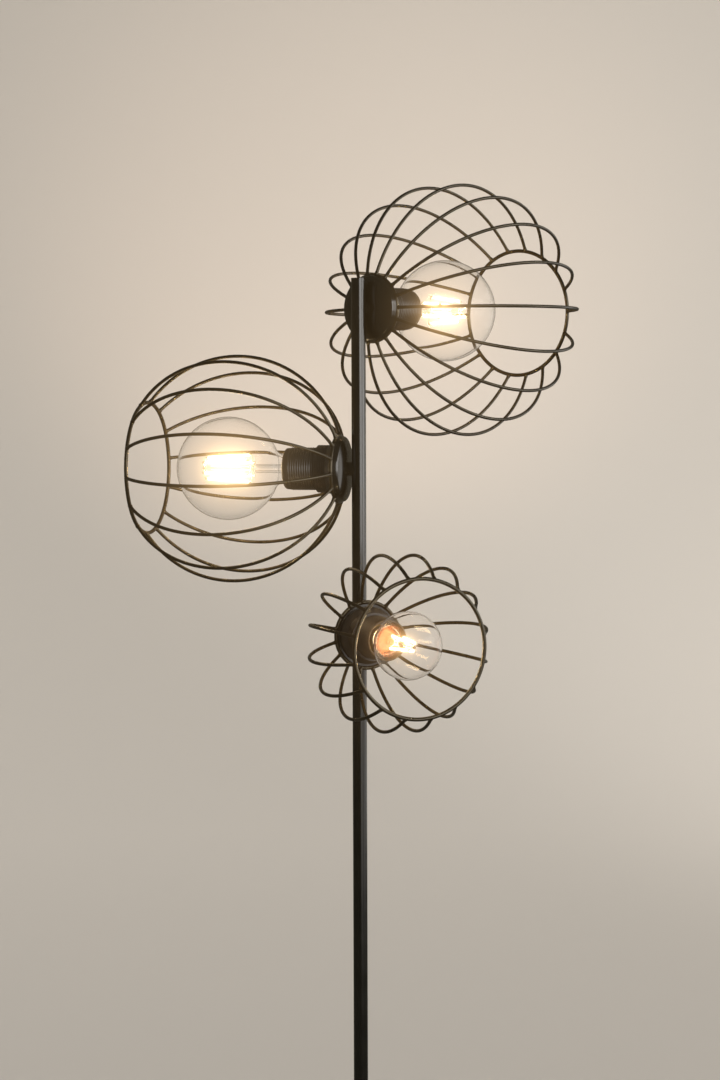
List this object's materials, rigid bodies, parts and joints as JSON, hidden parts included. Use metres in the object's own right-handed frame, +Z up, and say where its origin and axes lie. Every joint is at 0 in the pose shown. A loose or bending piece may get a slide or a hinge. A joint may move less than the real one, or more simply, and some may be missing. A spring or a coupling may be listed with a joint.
{
  "type": "floor lamp",
  "caption": "Floor lamp with wire-cage globe heads of stepped sizes fixed round a slim black pole on a weighted round base, each head lit by a bare screw-in bulb.",
  "frame": {"origin": "middle of the base's underside, on the floor under the pole", "axes": "+Z up along the pole; the viewer of the picture stands on the -Y side with +X to the right"},
  "size_m": [0.4204, 0.3754, 1.5914],
  "materials": {
    "black_metal": "satin black powder coat",
    "black_wire": "satin black powder coat on steel wire",
    "black_plastic": "moulded black thermoplastic",
    "insulator": "heat-proof dark moulding",
    "brass": "bare sheet brass",
    "steel": "zinc-plated",
    "iron": "as cast",
    "pad": "matt sheet",
    "gland": "soft moulding",
    "flex": "sheathed two-core flex",
    "glass": "clear blown glass",
    "bulb_cap": "nickel-plated thread",
    "filament": "lit warm-white light stick",
    "lead": "bright wire"
  },
  "bodies": {
    "stand": {"base_pad": "pad", "base_cover": "black_metal", "base_weight": "iron", "base_washer": "steel", "base_nut": "steel", "cord_gland": "gland", "pole_collar": "black_metal", "lower_tube": "black_metal", "upper_tube": "black_metal", "tube_coupler": "steel", "pole_cap": "black_metal", "wiring": "flex", "pole_spacers": "black_metal", "threaded_nipples": "steel", "lock_washers": "steel", "holder_caps": "black_plastic", "screw_shells": "brass", "centre_contacts": "brass", "top_cup": "black_metal", "top_cage_back_ring": "black_wire", "top_cage_front_ring": "black_wire", "top_cage_plate": "black_metal", "top_cage_upper_ribs": "black_wire", "top_cage_lower_ribs": "black_wire", "top_holder_skirt": "black_plastic", "top_shade_ring": "black_plastic", "top_holder_core": "insulator", "left_cup": "black_metal", "left_cage_back_ring": "black_wire", "left_cage_front_ring": "black_wire", "left_cage_plate": "black_metal", "left_cage_upper_ribs": "black_wire", "left_cage_lower_ribs": "black_wire", "left_holder_skirt": "black_plastic", "left_shade_ring": "black_plastic", "left_holder_core": "insulator", "low_cup": "black_metal", "low_cage_back_ring": "black_wire", "low_cage_front_ring": "black_wire", "low_cage_plate": "black_metal", "low_cage_upper_ribs": "black_wire", "low_cage_lower_ribs": "black_wire", "low_holder_skirt": "black_plastic", "low_shade_ring": "black_plastic", "low_holder_core": "insulator"},
    "top_bulb": {"top_bulb_glass": "glass", "top_bulb_cap": "bulb_cap", "top_bulb_stem": "glass", "top_bulb_filaments": "filament", "top_bulb_leads": "lead"},
    "left_bulb": {"left_bulb_glass": "glass", "left_bulb_cap": "bulb_cap", "left_bulb_stem": "glass", "left_bulb_filaments": "filament", "left_bulb_leads": "lead"},
    "low_bulb": {"low_bulb_glass": "glass", "low_bulb_cap": "bulb_cap", "low_bulb_stem": "glass", "low_bulb_filaments": "filament", "low_bulb_leads": "lead"}
  },
  "joints": [
    {"name": "top_bulb_out", "type": "slide", "parent": "stand", "child": "top_bulb", "axis": [0.6613, 0.7501, 0], "range_m": [0, 0.21]},
    {"name": "left_bulb_out", "type": "slide", "parent": "stand", "child": "left_bulb", "axis": [-0.9703, 0.2419, 0], "range_m": [0, 0.175]},
    {"name": "low_bulb_out", "type": "slide", "parent": "stand", "child": "low_bulb", "axis": [0.3681, -0.9298, 0], "range_m": [0, 0.115]}
  ]
}
